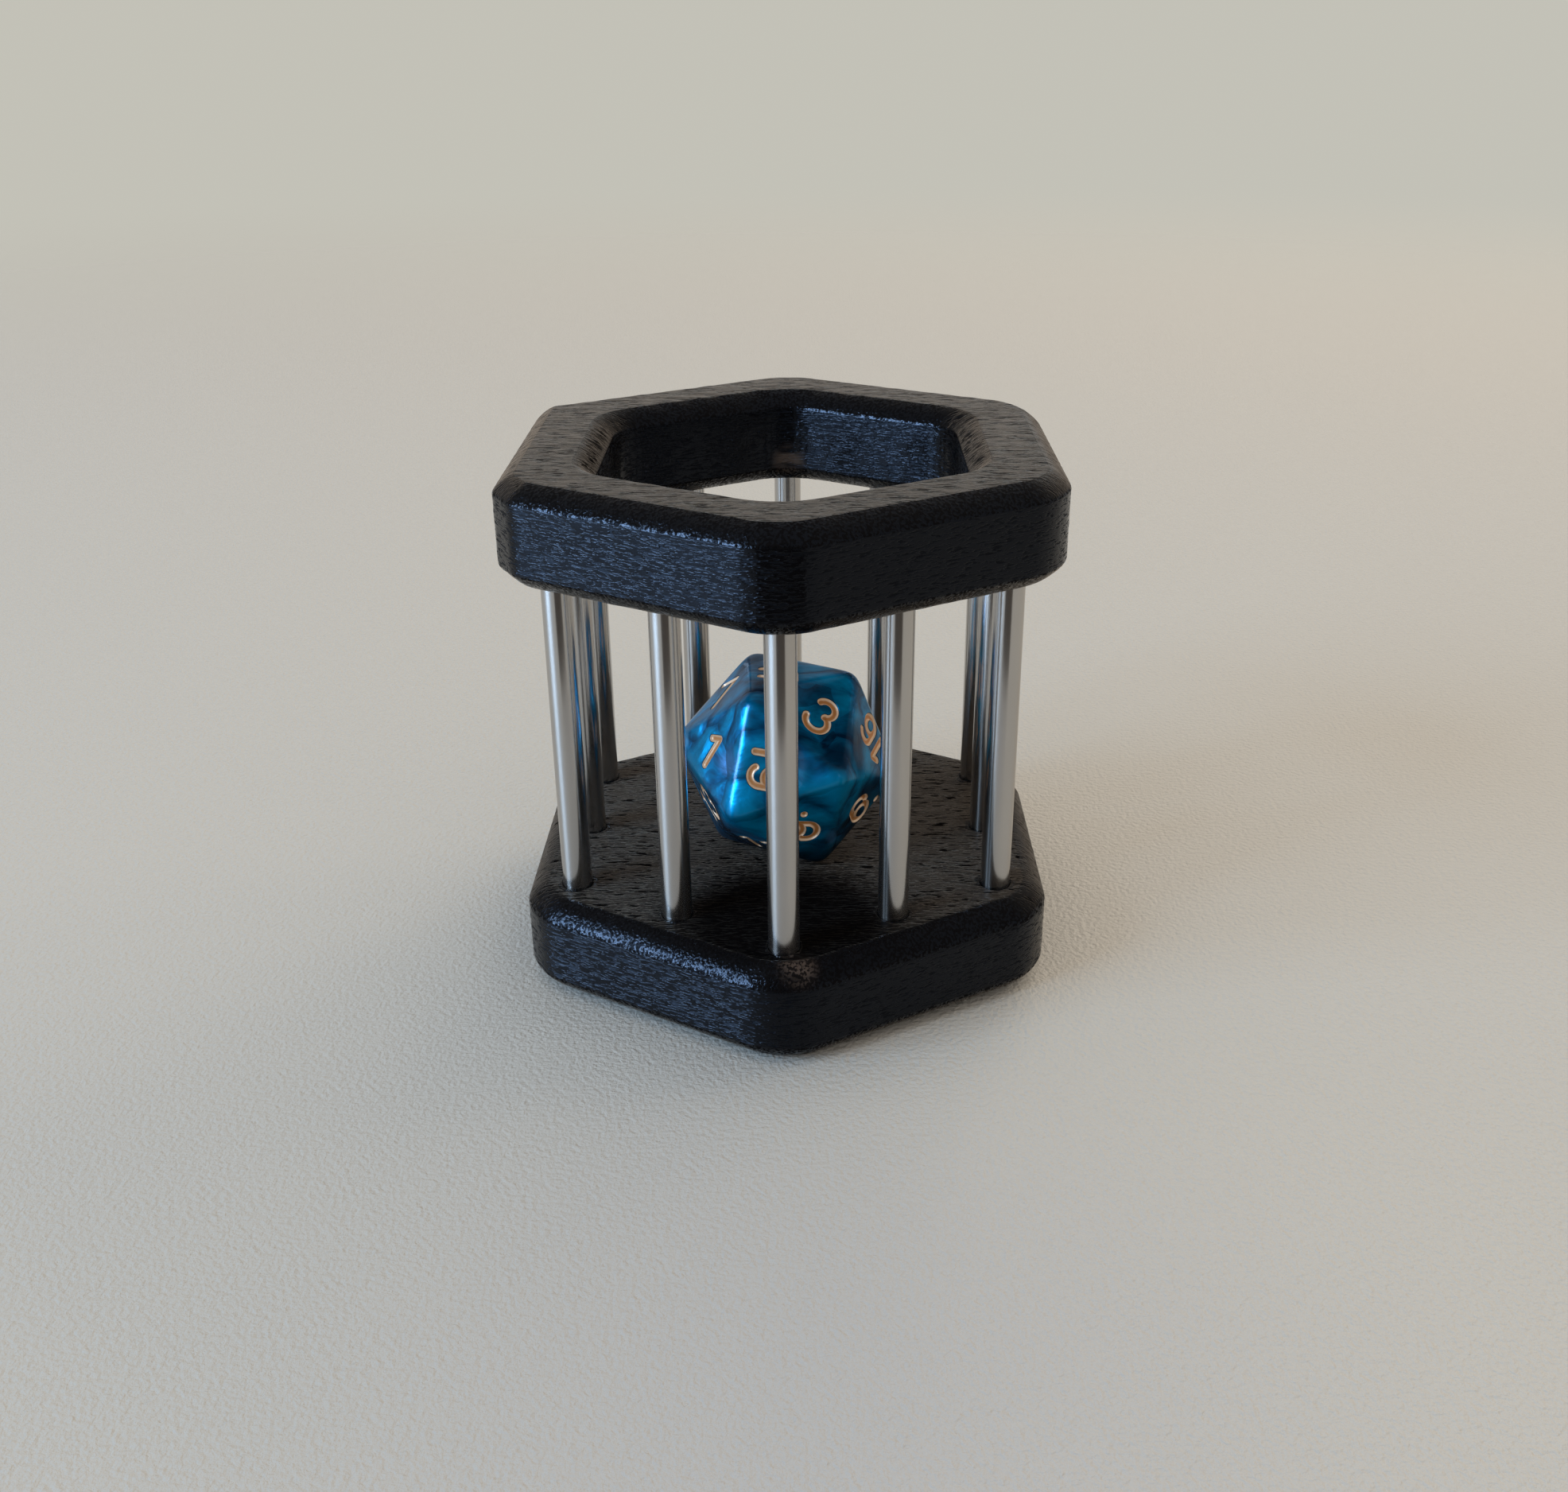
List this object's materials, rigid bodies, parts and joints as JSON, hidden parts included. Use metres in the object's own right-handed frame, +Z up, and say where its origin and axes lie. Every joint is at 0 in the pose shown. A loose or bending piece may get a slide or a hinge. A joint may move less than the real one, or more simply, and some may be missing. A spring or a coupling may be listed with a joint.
{
  "type": "dice jail",
  "caption": "Hexagonal cage of black wood and steel bars that holds a loose twenty-sided die, open at the top through its ring.",
  "frame": {"origin": "centre of the base's underside", "axes": "+Z up through the hole in the ring; one corner of the hexagon points along -Y and a flat side faces +X"},
  "size_m": [0.057, 0.063, 0.0571],
  "materials": {
    "black_wood": "satin",
    "polished_steel": "polished",
    "pearl_resin": "pearl gloss",
    "gold_paint": "satin"
  },
  "bodies": {
    "cage": {"base": "black_wood", "top_ring": "black_wood", "rod_01": "polished_steel", "rod_02": "polished_steel", "rod_03": "polished_steel", "rod_04": "polished_steel", "rod_05": "polished_steel", "rod_06": "polished_steel", "rod_07": "polished_steel", "rod_08": "polished_steel", "rod_09": "polished_steel", "rod_10": "polished_steel", "rod_11": "polished_steel", "rod_12": "polished_steel"},
    "die": {"die": "pearl_resin"}
  },
  "joints": [
    {"name": "die_lift", "type": "slide", "parent": "cage", "child": "die", "axis": [0, 0, 1], "range_m": [0, 0.05]}
  ]
}
